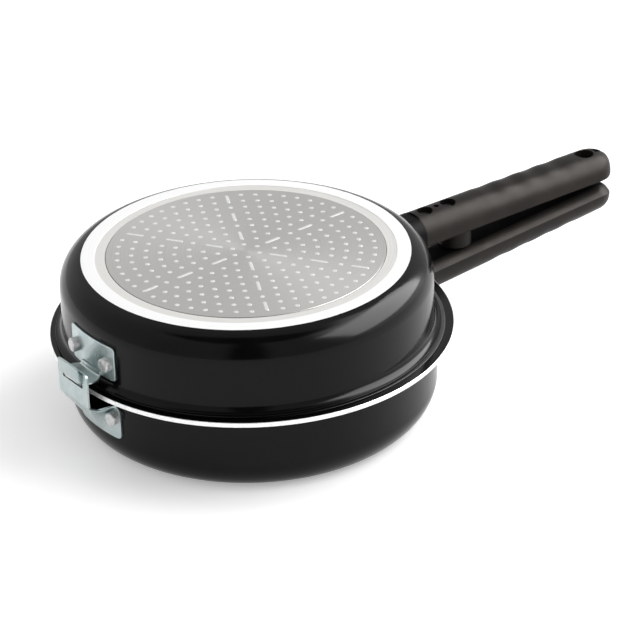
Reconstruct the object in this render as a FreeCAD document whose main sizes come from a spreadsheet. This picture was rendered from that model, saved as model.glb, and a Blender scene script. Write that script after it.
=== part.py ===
import FreeCAD, Part
import Sketcher
import math
import os

# Double sided flip pan: two frying pans, one turned over on the other, joined by a
# hook and slot hinge opposite the handles.
# Frame: the origin is the centre of the lower pan's foot, +Z up, handles along +X,
# hinge at -X. Lengths are millimetres.
# Each pan is drawn the way it stands on a hob. The upper one is then turned over.

# Driving dimensions, one cell of the sheet each
DIMENSIONS = [
    # pan bodies, widths and insets counted from the wall or the edge that they adjoin
    ("wall_radius", 120.5), ("wall", 2.5), ("base_thickness", 4.0), ("rim_reach", 10.9),
    ("rim_land", 2.9), ("rim_edge", 3.1), ("foot_inset", 14.5), ("foot_width", 9.0),
    ("foot_step", 0.3), ("lower_depth", 58.0), ("lower_corner", 22.0), ("lower_neck", 9.0),
    ("upper_depth", 51.2), ("upper_corner", 18.0), ("upper_neck", 7.2), ("flange_inset", 0.4),
    ("flange_land", 0.7), ("flange_edge", 1.6),
    # induction plates
    ("plate_margin", 7.0), ("plate_thickness", 0.8), ("slot_first_radius", 22.0),
    ("slot_edge", 12.8), ("slot_half_length", 6.0), ("slot_half_width", 1.1),
    # seal
    ("ledge_width", 5.2), ("ledge_depth", 1.7), ("seal_height", 2.0), ("seal_round", 0.4),
    # lower half of the hinge, heights counted from the rim
    ("sheet", 1.2), ("lower_wing_half", 20.5), ("lower_wing_foot", 34.6), ("lower_wing_head", 12.0),
    ("strap_half", 16.4), ("strap_root_half", 9.0), ("post_gap", 6.0), ("post_foot", 7.5),
    ("post_head", 15.9), ("window_half", 11.4), ("window_foot", 4.3), ("window_bar", 1.9),
    ("window_round", 1.5), ("post_round", 3.0), ("wing_round", 3.0),
    # upper half of the hinge, heights counted from the lower rim
    ("upper_wing_half", 25.0), ("upper_wing_foot", 8.5), ("upper_wing_head", 32.0),
    ("tongue_height", 7.0), ("tongue_half", 8.2), ("tongue_root_half", 10.6), ("hook_gap", 1.6),
    ("hook_height", 19.5), ("hook_lean", 2.2), ("hook_neck_half", 9.4), ("hook_head_half", 11.0),
    ("hook_neck", 7.0), ("bend_radius", 2.0),
    # rivets of the hinge, insets counted from the upright edge and the rim side of a wing
    ("rivet_radius", 2.5), ("rivet_head_radius", 3.7), ("rivet_head_height", 2.4),
    ("rivet_round", 1.1), ("rivet_inside_radius", 4.4), ("rivet_inside_height", 1.4),
    ("lower_rivet_inset", 8.2), ("lower_rivet_side_inset", 4.0), ("upper_rivet_inset", 10.8),
    ("upper_rivet_side_inset", 7.8),
    # handle brackets and guards, depths counted from the joint face of the grip
    ("tang_half", 6.5), ("tang_thickness", 2.5), ("tang_depth", 13.5), ("tang_length", 41.0),
    ("tab_half", 7.2), ("tab_sheet", 1.6), ("tab_top_depth", 11.5), ("tab_gap", 0.3),
    ("tab_rivet_side", 4.6), ("tab_rivet_inset", 3.1), ("tab_rivet_radius", 1.5),
    ("tab_rivet_head_radius", 2.0), ("tab_rivet_head_height", 1.2), ("tab_rivet_round", 0.5),
    ("guard_length", 18.5), ("guard_wall", 1.4),
    # grips, heights of their edge lines counted from the lower rim
    ("lower_grip_length", 172.3), ("upper_grip_length", 175.3), ("lower_edge_near", -6.6),
    ("lower_edge_far", 5.0), ("upper_edge_near", 15.6), ("grip_gap", 1.3), ("grip_half", 15.4),
    ("grip_crown", 5.0), ("grip_belly", 17.2), ("inner_flat_half", 4.0), ("nose_length", 16.0),
    # places along a grip, counted from its near end
    ("wave_inset", 66.5), ("wave_pitch", 20.7), ("wave_radius", 64.0), ("wave_depth", 0.9),
    ("screw_near_inset", 9.6), ("screw_pitch", 20.3), ("magnet_inset", 36.5),
    # screws of the grips and their bores
    ("screw_bore_radius", 5.6), ("screw_floor", 2.75), ("screw_head_radius", 4.2),
    ("screw_head_height", 2.4), ("screw_radius", 2.0), ("screw_lead", 2.75),
    ("pin_hole_radius", 2.0),
    # hang holes of the grips, counted back from the tip
    ("hang_length", 13.4), ("hang_far", 12.9), ("hang_half", 4.8), ("hang_bar", 1.6),
    ("hang_tip", 4.6), ("hang_tip_half", 2.8),
    # magnet, its cup and the keeper under it
    ("magnet_radius", 8.0), ("magnet_thickness", 3.0), ("cup_radius", 11.3), ("cup_root", 6.0),
    ("cup_gap", 0.73), ("cup_round", 0.5), ("magnet_sink", 0.3), ("keeper_radius", 5.0),
    ("keeper_thickness", 2.0), ("keeper_sink", 0.5),
    # fits and gaps
    ("seal_gap", 0.6), ("fit", 0.05), ("upper_shift", 2.8), ("overrun", 6.0),
]

SLOTS_IN_A_SPOKE = 3

# Sizes that follow from the driving ones, as formulas in the same sheet
DERIVED = [
    ("rim_radius", "wall_radius + rim_reach"),
    ("rim_under_radius", "rim_radius - rim_land"),
    ("ledge_radius", "wall_radius + ledge_width"),
    ("flange_radius", "ledge_radius - flange_inset"),
    ("flange_under_radius", "flange_radius - flange_land"),
    ("foot_radius", "wall_radius - foot_inset"),
    ("plate_radius", "foot_radius - foot_width - plate_margin"),
    ("slot_pitch", "(plate_radius - slot_edge - slot_first_radius) / %d" % (SLOTS_IN_A_SPOKE - 1)),
    ("post_radius", "rim_radius + post_gap + sheet / 2"),
    ("window_head", "post_head - window_bar"),
    ("lower_rivet_drop", "lower_wing_head + lower_rivet_inset"),
    ("lower_rivet_side", "lower_wing_half - lower_rivet_side_inset"),
    ("upper_rivet_rise", "upper_wing_foot + upper_rivet_inset"),
    ("upper_rivet_side", "upper_wing_half - upper_rivet_side_inset"),
    ("grip_start", "wall_radius + guard_length"),
    ("lower_grip_end", "grip_start + lower_grip_length"),
    ("upper_grip_end", "grip_start + upper_grip_length"),
    ("upper_edge_far", "lower_edge_far + grip_crown * 2 + grip_gap"),
    ("tang_end", "grip_start + tang_length"),
    ("tab_foot_depth", "grip_crown + grip_belly - guard_wall - tab_gap"),
    ("tab_rivet_depth", "tab_foot_depth - tab_rivet_inset"),
    ("screw_near", "grip_start + screw_near_inset"),
    ("screw_far", "screw_near + screw_pitch"),
    ("pin_place", "screw_near + screw_pitch / 2"),
    ("screw_seat", "tang_depth + tang_thickness / 2 + screw_floor"),
    ("screw_reach", "tang_depth - tang_thickness / 2 - screw_lead"),
    ("wave_first", "grip_start + wave_inset"),
    ("magnet_place", "grip_start + magnet_inset"),
    ("keeper_place", "magnet_place - upper_shift"),
    ("hang_near", "hang_far + hang_length"),
]

# Stations along a grip, up to where its nose begins. Each row holds shares: place along
# that stretch, half width, depth of the belly.
GRIP_STATION_SHARES = [(0.0, 0.985, 1.0), (0.8, 1.06, 0.915), (1.0, 1.09, 0.82)]
# The belly of a grip's section: half width of its flat, where the shoulder ends and its rise,
# and where the nose closes. All are shares too.
BELLY_FLAT_SHARE = 0.25
SIDE_SHARE = 0.97
SHOULDER_RISE_SHARE = 0.88
NOSE_MIDDLE_SHARE = 0.42
# The nose is a quarter turn, cut into steps and left a little blunt
NOSE_STEPS = 6
NOSE_TURN = 84
NOSE_BLUNTNESS = 2.3
FINGER_WAVES = 4
SPOKES = 6
SPOKE_TURN = -2.8
RIVET_DOME_SHARE = 0.8


class Size:
    """A number together with the sheet expression that gives it."""

    def __init__(self, value, text):
        self.value = float(value)
        self.text = text

    def __add__(self, other):
        other = size(other)
        return Size(self.value + other.value, "(%s + %s)" % (self.text, other.text))

    def __sub__(self, other):
        other = size(other)
        return Size(self.value - other.value, "(%s - %s)" % (self.text, other.text))

    def __mul__(self, other):
        other = size(other)
        return Size(self.value * other.value, "(%s * %s)" % (self.text, other.text))

    def __truediv__(self, other):
        other = size(other)
        return Size(self.value / other.value, "(%s / %s)" % (self.text, other.text))

    def __neg__(self):
        return Size(-self.value, "(-1 * %s)" % self.text)

    def root(self):
        return Size(math.sqrt(self.value), "sqrt(%s)" % self.text)


def size(number):
    """Let plain zeros, ones and shares take part in a sum of sizes."""
    if isinstance(number, Size):
        return number
    return Size(number, repr(float(number)))


def make_sheet():
    """Write the dimensions and formulas into a sheet and give them back by name."""
    sheet = doc.addObject("Spreadsheet::Sheet", "sizes")
    rows = [(name, str(value)) for name, value in DIMENSIONS]
    rows += [(name, "=" + formula) for name, formula in DERIVED]
    for row, (name, content) in enumerate(rows, start=1):
        sheet.set("A%d" % row, name)
        sheet.set("B%d" % row, content)
        sheet.setAlias("B%d" % row, name)
    doc.recompute()
    return {name: Size(sheet.get(name), "sizes.%s" % name) for name, _ in rows}


def new_body(label):
    body = doc.addObject("PartDesign::Body", label)
    body.Label = label
    bodies.append(body)
    return body


def bind(item, name, value):
    """Bind one property of an object to the sheet."""
    item.setExpression(name, size(value).text)


def new_sketch(body, role, shift=None):
    """A sketch on one of the body's own origin planes, moved along its normal by shift."""
    sketch = body.newObject("Sketcher::SketchObject", body.Label + "_outline")
    plane = [item for item in body.Origin.OriginFeatures if item.Role == role][0]
    sketch.AttachmentSupport = [(plane, "")]
    sketch.MapMode = "FlatFace"
    if shift is not None:
        bind(sketch, "AttachmentOffset.Base.z", shift)
    return sketch


def pin_coordinate(sketch, kind, axis, index, position, value):
    """Hold one coordinate of a point at a size, or on the axis when it is plain zero."""
    if not isinstance(value, Size):
        sketch.addConstraint(Sketcher.Constraint("PointOnObject", index, position, axis))
        return
    number = sketch.addConstraint(Sketcher.Constraint(kind, -1, 1, index, position, value.value))
    sketch.setExpression("Constraints[%d]" % number, value.text)


def arc_between(start, end, radius, turn):
    """The short arc from start to end that bends left (turn 1) or right (turn -1)."""
    chord = end - start
    left = FreeCAD.Vector(-chord.y, chord.x, 0).normalize()
    reach = math.sqrt(max(radius * radius - chord.Length * chord.Length / 4, 0))
    centre = (start + end) * 0.5 + left * (reach * turn)
    first, last = (start, end) if turn > 0 else (end, start)
    circle = Part.Circle(centre, FreeCAD.Vector(0, 0, 1), radius)
    return Part.ArcOfCircle(circle, circle.parameter(first), circle.parameter(last))


def outline(sketch, corners, arcs=None):
    """Draw a closed outline. arcs gives (radius, turn) for the arc that leaves a corner."""
    arcs = arcs or {}
    points = [FreeCAD.Vector(size(x).value, size(y).value, 0) for x, y in corners]
    ends = []
    for number, start in enumerate(points):
        end = points[(number + 1) % len(points)]
        if number in arcs:
            radius, turn = arcs[number]
            index = sketch.addGeometry(arc_between(start, end, radius.value, turn), False)
            ends.append((index, 1, 2) if turn > 0 else (index, 2, 1))
        else:
            index = sketch.addGeometry(Part.LineSegment(start, end), False)
            ends.append((index, 1, 2))
    for number, (index, _, finish) in enumerate(ends):
        following, begin, _ = ends[(number + 1) % len(ends)]
        sketch.addConstraint(Sketcher.Constraint("Coincident", index, finish, following, begin))
    for number, (index, begin, _) in enumerate(ends):
        pin_coordinate(sketch, "DistanceX", -2, index, begin, corners[number][0])
        pin_coordinate(sketch, "DistanceY", -1, index, begin, corners[number][1])
        if number in arcs:
            radius = arcs[number][0]
            held = sketch.addConstraint(Sketcher.Constraint("Radius", index, radius.value))
            sketch.setExpression("Constraints[%d]" % held, radius.text)


def stadium(near, far, half):
    """Corners and arcs of a slot along X with round ends."""
    corners = [(near + half, -half), (far - half, -half), (far, 0), (far - half, half),
               (near + half, half), (near, 0)]
    return corners, {1: (half, 1), 2: (half, 1), 4: (half, 1), 5: (half, 1)}


def revolve(body, corners, arcs=None, half_angle=None):
    """Turn an outline about the vertical axis, all round or by half_angle each way."""
    sketch = new_sketch(body, "XZ_Plane")
    outline(sketch, corners, arcs)
    turned = body.newObject("PartDesign::Revolution", body.Label + "_turned")
    turned.Profile = sketch
    turned.ReferenceAxis = (sketch, ["V_Axis"])
    if half_angle is None:
        turned.Angle = 360
    else:
        turned.Midplane = True
        bind(turned, "Angle", half_angle * 2)
    doc.recompute()
    return turned


def spindle(body, corners, arcs=None):
    """Turn an outline about the X axis, as for a rivet."""
    sketch = new_sketch(body, "XZ_Plane")
    outline(sketch, corners, arcs)
    turned = body.newObject("PartDesign::Revolution", body.Label + "_turned")
    turned.Profile = sketch
    turned.ReferenceAxis = (sketch, ["H_Axis"])
    turned.Angle = 360
    doc.recompute()
    return turned


def push(body, role, outlines, length, shift=None, both=False, cut=False):
    """Push outlines out, or cut them away, along the normal of their plane."""
    sketch = new_sketch(body, role, shift)
    for corners, arcs in outlines:
        outline(sketch, corners, arcs)
    before = body.Shape.Volume if cut else None
    kind = "PartDesign::Pocket" if cut else "PartDesign::Pad"
    pushed = body.newObject(kind, body.Label + "_push")
    pushed.Profile = sketch
    if both:
        pushed.SideType = "Symmetric"
    elif cut:
        pushed.Reversed = True
    bind(pushed, "Length", length)
    doc.recompute()
    if cut and not body.Shape.Volume < before:
        raise RuntimeError("a cut of %s removed nothing" % body.Label)
    return pushed


def drill(body, radius, height, point, direction):
    """Cut a cylinder out of a body, from the point along the direction."""
    before = body.Shape.Volume
    hole = body.newObject("PartDesign::SubtractiveCylinder", body.Label + "_hole")
    bind(hole, "Radius", radius)
    bind(hole, "Height", height)
    hole.Placement = FreeCAD.Placement(
        FreeCAD.Vector(*[size(value).value for value in point]),
        FreeCAD.Rotation(FreeCAD.Vector(0, 0, 1), direction))
    for axis, value in zip("xyz", point):
        if isinstance(value, Size):
            bind(hole, "Placement.Base.%s" % axis, value)
    doc.recompute()
    if not body.Shape.Volume < before:
        raise RuntimeError("a hole in %s removed nothing" % body.Label)
    return hole


def blend(body, stations, role, cut=False, ruled=False):
    """Join outlines at stations along the normal of their plane."""
    sketches = []
    for shift, corners, arcs in stations:
        sketch = new_sketch(body, role, shift)
        outline(sketch, corners, arcs)
        sketches.append(sketch)
    before = body.Shape.Volume if cut else None
    kind = "PartDesign::SubtractiveLoft" if cut else "PartDesign::AdditiveLoft"
    loft = body.newObject(kind, body.Label + "_blend")
    loft.Profile = sketches[0]
    loft.Sections = sketches[1:]
    loft.Ruled = ruled
    doc.recompute()
    if cut and not body.Shape.Volume < before:
        raise RuntimeError("a cut of %s removed nothing" % body.Label)
    return loft


def soften(body, radius, chosen):
    """Round the edges of a body that the function chosen picks."""
    tip = body.Tip
    names = []
    for number, edge in enumerate(tip.Shape.Edges, start=1):
        if chosen(edge):
            names.append("Edge%d" % number)
    if not names:
        raise RuntimeError("no edge to round on %s" % body.Label)
    rounded = body.newObject("PartDesign::Fillet", body.Label + "_round")
    rounded.Base = (tip, names)
    bind(rounded, "Radius", radius)
    doc.recompute()
    return rounded


def settle(body, pan, along=0, height=0, turn=0):
    """Put a piece in its place on its pan. The upper pan is turned over about X."""
    spin = FreeCAD.Rotation(FreeCAD.Vector(0, 0, 1), turn)
    if pan == "upper":
        along = size(along) - s["upper_shift"]
        height = closed_height - height
        spin = FreeCAD.Rotation(FreeCAD.Vector(1, 0, 0), 180).multiply(spin)
    body.Placement = FreeCAD.Placement(FreeCAD.Vector(size(along).value, 0, size(height).value), spin)
    if isinstance(along, Size):
        bind(body, "Placement.Base.x", along)
    if isinstance(height, Size):
        bind(body, "Placement.Base.z", height)


def near_value(number, wanted):
    """Whether two lengths agree to well under the thickness of a sheet."""
    return abs(number - size(wanted).value) < s["fit"].value


def is_straight(edge, axis):
    """Whether an edge is straight and runs along the axis of that name."""
    if not isinstance(edge.Curve, Part.Line):
        return False
    return abs(getattr(edge.Curve.Direction, axis)) > 0.999


# Pan bodies

def foot_centre_height(corner):
    """Height of the outer corner's centre when its arc ends on the edge of the foot."""
    overhang = s["foot_radius"] - s["wall_radius"] + corner
    return (corner * corner - overhang * overhang).root()


def make_shell(pan):
    """The pressed pan body, from the plate seat round the outside, over the rim and back inside."""
    body = new_body(pan + "_pan_shell")
    lower = pan == "lower"
    depth = s[pan + "_depth"]
    corner = s[pan + "_corner"]
    neck = s[pan + "_neck"]
    lip = s["rim_radius"] if lower else s["flange_radius"]
    lip_under = s["rim_under_radius"] if lower else s["flange_under_radius"]
    lip_edge = s["rim_edge"] if lower else s["flange_edge"]
    seat = s["plate_thickness"]
    seat_radius = s["plate_radius"] + s["fit"]
    inner = s["wall_radius"] - s["wall"]
    inner_corner = corner - s["wall"]
    corners = [
        (0, seat),
        (seat_radius, seat),
        (seat_radius, s["foot_step"]),
        (s["foot_radius"] - s["foot_width"], s["foot_step"]),
        (s["foot_radius"] - s["foot_width"], 0),
        (s["foot_radius"], 0),
        (s["wall_radius"], foot_centre_height(corner)),
        (s["wall_radius"], depth - neck),
        (lip_under, depth - lip_edge),
        (lip, depth - lip_edge),
        (lip, depth),
    ]
    rise = neck - lip_edge
    flare = lip_under - s["wall_radius"]
    neck_radius = (rise * rise + flare * flare) / (flare * 2)
    arcs = {5: (corner, 1), 7: (neck_radius, -1)}
    if lower:
        ledge = depth - s["ledge_depth"]
        corners += [(s["ledge_radius"], depth), (s["ledge_radius"], ledge), (inner, ledge)]
    else:
        corners += [(inner, depth)]
    arcs[len(corners)] = (inner_corner, -1)
    corners += [
        (inner, s["base_thickness"] + inner_corner),
        (s["wall_radius"] - corner, s["base_thickness"]),
        (0, s["base_thickness"]),
    ]
    revolve(body, corners, arcs)
    for side in ("left", "right"):
        rivet_hole(body, pan, "hinge", side)
        rivet_hole(body, pan, "handle", side)
    settle(body, pan)


def make_plate(pan):
    """The steel plate in the base, with its spokes of slots."""
    body = new_body(pan + "_induction_plate")
    thick = s["plate_thickness"]
    revolve(body, [(0, 0), (s["plate_radius"], 0), (s["plate_radius"], thick), (0, thick)])
    spoke = []
    for number in range(SLOTS_IN_A_SPOKE):
        middle = s["slot_first_radius"] + s["slot_pitch"] * number
        reach = s["slot_half_length"]
        spoke.append(stadium(middle - reach, middle + reach, s["slot_half_width"]))
    pocket = push(body, "XY_Plane", spoke, thick, cut=True)
    before = body.Shape.Volume
    pattern = body.newObject("PartDesign::PolarPattern", body.Label + "_spokes")
    pattern.Originals = [pocket]
    pattern.Axis = (pocket.Profile[0], ["N_Axis"])
    pattern.Angle = 360
    pattern.Occurrences = SPOKES
    body.Tip = pattern
    doc.recompute()
    if not body.Shape.Volume < before:
        raise RuntimeError("the spokes of %s removed nothing" % body.Label)
    settle(body, pan, turn=SPOKE_TURN)


def make_seal():
    body = new_body("rim_seal")
    inner = s["wall_radius"] - s["wall"] + s["seal_round"]
    outer = s["ledge_radius"] - s["fit"]
    foot = s["lower_depth"] - s["ledge_depth"]
    head = foot + s["seal_height"]
    bend = s["seal_round"]
    revolve(body, [(inner, foot), (outer, foot), (outer, head - bend), (outer - bend, head),
                   (inner + bend, head), (inner, head - bend)],
            {2: (bend, 1), 4: (bend, 1)})


# Rivets and their holes

def rivet_place(pan, end):
    """Height of a pair of rivets on the wall and how far each is to the side."""
    if end == "handle":
        return grip_joint(pan, s["grip_start"]) - s["tab_rivet_depth"], s["tab_rivet_side"]
    if pan == "lower":
        return s["lower_depth"] - s["lower_rivet_drop"], s["lower_rivet_side"]
    return lower_rim_in_upper - s["upper_rivet_rise"], s["upper_rivet_side"]


def rivet_turn(pan, end, side):
    """Degrees from +X to the rivet. Left and right are as seen from above the closed pan."""
    _, across = rivet_place(pan, end)
    swing = math.degrees(across.value / s["wall_radius"].value)
    if side == "right":
        swing = -swing
    if pan == "upper":
        swing = -swing
    return 180 - swing if end == "hinge" else swing


def rivet_hole(body, pan, end, side):
    """A hole through the wall, or a sheet on it, for one rivet."""
    height, _ = rivet_place(pan, end)
    turn = math.radians(rivet_turn(pan, end, side))
    direction = FreeCAD.Vector(math.cos(turn), math.sin(turn), 0)
    start = s["wall_radius"] - s["overrun"]
    radius = s["rivet_radius"] if end == "hinge" else s["tab_rivet_radius"]
    drill(body, radius + s["fit"], s["overrun"] * 2,
          (start * direction.x, start * direction.y, height), direction)


def make_rivet(pan, end, side):
    """A rivet drawn along X through the sheet and the wall, then swung round to its place."""
    body = new_body("%s_%s_rivet_%s" % (pan, end, side))
    hinge = end == "hinge"
    radius = s["rivet_radius"] if hinge else s["tab_rivet_radius"]
    head_radius = s["rivet_head_radius"] if hinge else s["tab_rivet_head_radius"]
    head_height = s["rivet_head_height"] if hinge else s["tab_rivet_head_height"]
    rounding = s["rivet_round"] if hinge else s["tab_rivet_round"]
    sheet = s["sheet"] if hinge else s["tab_sheet"]
    inside = s["wall_radius"] - s["wall"] - s["fit"] * 2
    inside_tip = inside - s["rivet_inside_height"]
    outside = s["wall_radius"] + s["fit"] * 2 + sheet
    tip = outside + head_height
    dome = s["rivet_inside_height"] * RIVET_DOME_SHARE
    spindle(body, [(inside_tip, 0), (inside_tip, s["rivet_inside_radius"] - dome),
                   (inside_tip + dome, s["rivet_inside_radius"]), (inside, s["rivet_inside_radius"]),
                   (inside, radius), (outside, radius), (outside, head_radius),
                   (tip - rounding, head_radius), (tip, head_radius - rounding), (tip, 0)],
            {1: (dome, -1), 7: (rounding, -1)})
    height, _ = rivet_place(pan, end)
    settle(body, pan, height=height, turn=rivet_turn(pan, end, side))


# Hinge

def wing_angle(half):
    """Degrees each side that a strip of this half width covers on the wall."""
    return half / s["wall_radius"] * math.degrees(1)


def at_wing_corner(edge, half):
    """Whether an edge is one of the short ones at the corners of a wing."""
    short = edge.Length < s["sheet"].value + s["fit"].value
    return short and abs(edge.CenterOfMass.y) > half.value - s["sheet"].value


def strap_section(height, reach, half, inset):
    """Horizontal section through the scoop that carries the post, or through its hollow."""
    back = s["wall_radius"] - s["wall"]
    return (height, [(-reach + inset, -half + inset), (-back, -half + inset),
                     (-back, half - inset), (-reach + inset, half - inset)], None)


def make_lower_bracket():
    """Curved wings on the wall, a hollow scoop out round the rim, and the post with its window."""
    body = new_body("lower_hinge_bracket")
    depth = s["lower_depth"]
    sheet = s["sheet"]
    near = s["wall_radius"] + s["fit"]
    far = near + sheet
    foot = depth - s["lower_wing_foot"]
    head = depth - s["lower_wing_head"]
    revolve(body, [(-far, foot), (-near, foot), (-near, head), (-far, head)],
            half_angle=wing_angle(s["lower_wing_half"]))
    soften(body, s["wing_round"], lambda edge: at_wing_corner(edge, s["lower_wing_half"]))
    outer = s["post_radius"] + sheet / 2
    bend = depth - s["post_foot"]
    blend(body, [strap_section(foot, far, s["strap_root_half"], size(0)),
                 strap_section(bend, outer, s["strap_half"], size(0))], "XY_Plane", ruled=True)
    top = depth + s["post_head"]
    push(body, "XZ_Plane", [([(-outer, bend), (-outer + sheet, bend), (-outer + sheet, top),
                              (-outer, top)], None)], s["strap_half"] * 2, both=True)
    blend(body, [strap_section(foot, far, s["strap_root_half"], sheet),
                 strap_section(bend, outer, s["strap_half"], sheet)], "XY_Plane", cut=True, ruled=True)
    drill(body, near, depth * 2, (0, 0, 0), FreeCAD.Vector(0, 0, 1))
    soften(body, s["post_round"], lambda edge: near_value(edge.CenterOfMass.z, top)
           and near_value(edge.Length, sheet))
    half = s["window_half"]
    low = depth + s["window_foot"]
    high = depth + s["window_head"]
    bend_in = s["window_round"]
    push(body, "YZ_Plane",
         [([(-half, low + bend_in), (-half + bend_in, low), (half - bend_in, low), (half, low + bend_in),
            (half, high - bend_in), (half - bend_in, high), (-half + bend_in, high),
            (-half, high - bend_in)],
           {0: (bend_in, 1), 2: (bend_in, 1), 4: (bend_in, 1), 6: (bend_in, 1)})],
         s["overrun"] * 2, shift=-s["post_radius"], both=True, cut=True)
    for side in ("left", "right"):
        rivet_hole(body, "lower", "hinge", side)


def make_upper_hook():
    """Curved wings on the wall, a tongue that leaves them over the lower rim, and the hook."""
    body = new_body("upper_hinge_hook")
    sheet = s["sheet"]
    near = s["wall_radius"] + s["fit"]
    far = near + sheet
    rim = lower_rim_in_upper
    foot = rim - s["upper_wing_foot"]
    head = rim - s["upper_wing_head"]
    low = rim - s["tongue_height"] - sheet / 2
    high = low + sheet
    revolve(body, [(-far, head), (-near, head), (-near, foot), (-far, foot)],
            half_angle=wing_angle(s["upper_wing_half"]))
    soften(body, s["wing_round"], lambda edge: at_wing_corner(edge, s["upper_wing_half"]))
    revolve(body, [(-far, foot - s["bend_radius"]), (-near, foot - s["bend_radius"]), (-near, high),
                   (-far, high)], half_angle=wing_angle(s["tongue_root_half"]))
    hook = s["post_radius"] + sheet / 2 + s["hook_gap"] - s["upper_shift"]
    tip = hook + s["hook_lean"]
    top = rim - s["hook_height"]
    back = s["wall_radius"] - s["wall"]
    push(body, "XZ_Plane",
         [([(-back, high), (-back, low), (-hook, low), (-tip, top), (-tip - sheet, top),
            (-hook - sheet, high)], None)], s["hook_head_half"] * 2, both=True)
    drill(body, near, s["upper_depth"] * 2, (0, 0, 0), FreeCAD.Vector(0, 0, 1))
    soften(body, s["bend_radius"], lambda edge: is_straight(edge, "y")
           and near_value(edge.CenterOfMass.x, -hook) and near_value(edge.CenterOfMass.z, low))
    soften(body, s["bend_radius"] + sheet, lambda edge: is_straight(edge, "y")
           and near_value(edge.CenterOfMass.x, -hook - sheet)
           and near_value(edge.CenterOfMass.z, high))
    # the tongue has a waist, and the hook a neck above it
    waist = s["tongue_half"]
    neck = s["hook_neck_half"]
    root = s["tongue_root_half"]
    wide = s["hook_head_half"] + s["overrun"]
    face = far + s["fit"]
    step = face + s["bend_radius"] * 2
    beyond = tip + s["overrun"]
    for side in (1, -1):
        corners = [(-face, root * side), (-step, waist * side), (-hook, waist * side),
                   (-hook - s["fit"], neck * side), (-beyond, neck * side), (-beyond, wide * side),
                   (-face, wide * side)]
        push(body, "XY_Plane", [(corners, None)], s["hook_neck"] + sheet * 2,
             shift=rim - s["tongue_height"] - s["hook_neck"], cut=True)
    for side in ("left", "right"):
        rivet_hole(body, "upper", "hinge", side)
    settle(body, "upper")


# Handles

def nose_start(pan):
    return s[pan + "_grip_end"] - s["nose_length"]


def edge_height(pan, place):
    """Height in the pan's own frame of the edge line along both sides of the grip."""
    near = s[pan + "_edge_near"]
    slope = (s[pan + "_edge_far"] - near) / (s[pan + "_grip_end"] - s["grip_start"])
    rise = near + slope * (size(place) - s["grip_start"])
    return s["lower_depth"] + rise if pan == "lower" else lower_rim_in_upper - rise


def grip_joint(pan, place):
    """Height of the flat that faces the other grip."""
    return edge_height(pan, place) + s["grip_crown"]


def station_share(pan, place, column):
    """A share from the stations at a place along the grip."""
    reach = nose_start(pan) - s["grip_start"]
    share = (size(place) - s["grip_start"]) / reach
    for before, after in zip(GRIP_STATION_SHARES, GRIP_STATION_SHARES[1:]):
        if share.value <= after[0] + s["fit"].value / reach.value:
            break
    slope = (after[column] - before[column]) / (after[0] - before[0])
    return (share - before[0]) * slope + before[column]


def belly_depth(pan, place):
    return s["grip_belly"] * station_share(pan, place, 2)


def grip_section(pan, place, inset=0, across=1, deep=1):
    """Corners and arcs of the section at a place, drawn smaller all round by inset.

    In the nose, across narrows the section and deep draws it in towards its middle.
    """
    belly = belly_depth(pan, place)
    middle = edge_height(pan, place) - belly * NOSE_MIDDLE_SHARE
    edge = middle + belly * (NOSE_MIDDLE_SHARE * deep)
    bottom = edge - belly * deep + inset
    joint = edge + s["grip_crown"] * deep - inset
    half = s["grip_half"] * station_share(pan, place, 1) * across - inset
    inner = s["inner_flat_half"] * across
    flat = half * BELLY_FLAT_SHARE
    side = half * SIDE_SHARE
    reach = side - flat
    climb = reach * SHOULDER_RISE_SHARE
    shoulder = arc_radius(reach, climb)
    flank = arc_radius(edge - bottom - climb, half - side)
    crown = arc_radius(half - inner, joint - edge)
    corners = [(flat, bottom), (side, bottom + climb), (half, edge), (inner, joint),
               (-inner, joint), (-half, edge), (-side, bottom + climb), (-flat, bottom)]
    arcs = {0: (shoulder, 1), 1: (flank, 1), 2: (crown, 1), 4: (crown, 1), 5: (flank, 1),
            6: (shoulder, 1)}
    return corners, arcs


def arc_radius(run, rise):
    """Radius of the arc over a run and a rise that starts out along the longer of the two."""
    shorter = rise if rise.value < run.value else run
    return (run * run + rise * rise) / (shorter * 2)


def make_handle_bracket(pan):
    """A tab on the wall with the flat tang that carries the grip."""
    body = new_body(pan + "_handle_bracket")
    near = s["wall_radius"] + s["fit"]
    far = near + s["tab_sheet"]
    joint = grip_joint(pan, s["grip_start"])
    foot = joint - s["tab_foot_depth"]
    top = joint - s["tab_top_depth"]
    revolve(body, [(near, foot), (far, foot), (far, top), (near, top)],
            half_angle=wing_angle(s["tab_half"]))
    half = s["tang_half"]
    end = s["tang_end"]
    taper = half / 2
    back = s["wall_radius"] - s["wall"]
    push(body, "XY_Plane", [([(back, -half), (end - taper, -half), (end, -taper), (end, taper),
                              (end - taper, half), (back, half)], None)],
         s["tang_thickness"], shift=joint - s["tang_depth"] - s["tang_thickness"] / 2)
    drill(body, near, joint * 2, (0, 0, 0), FreeCAD.Vector(0, 0, 1))
    for place in (s["screw_near"], s["screw_far"]):
        drill(body, s["screw_radius"] + s["fit"], s["overrun"], (place, 0, joint - s["screw_seat"]),
              FreeCAD.Vector(0, 0, 1))
    for side in ("left", "right"):
        rivet_hole(body, pan, "handle", side)
    settle(body, pan)


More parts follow.
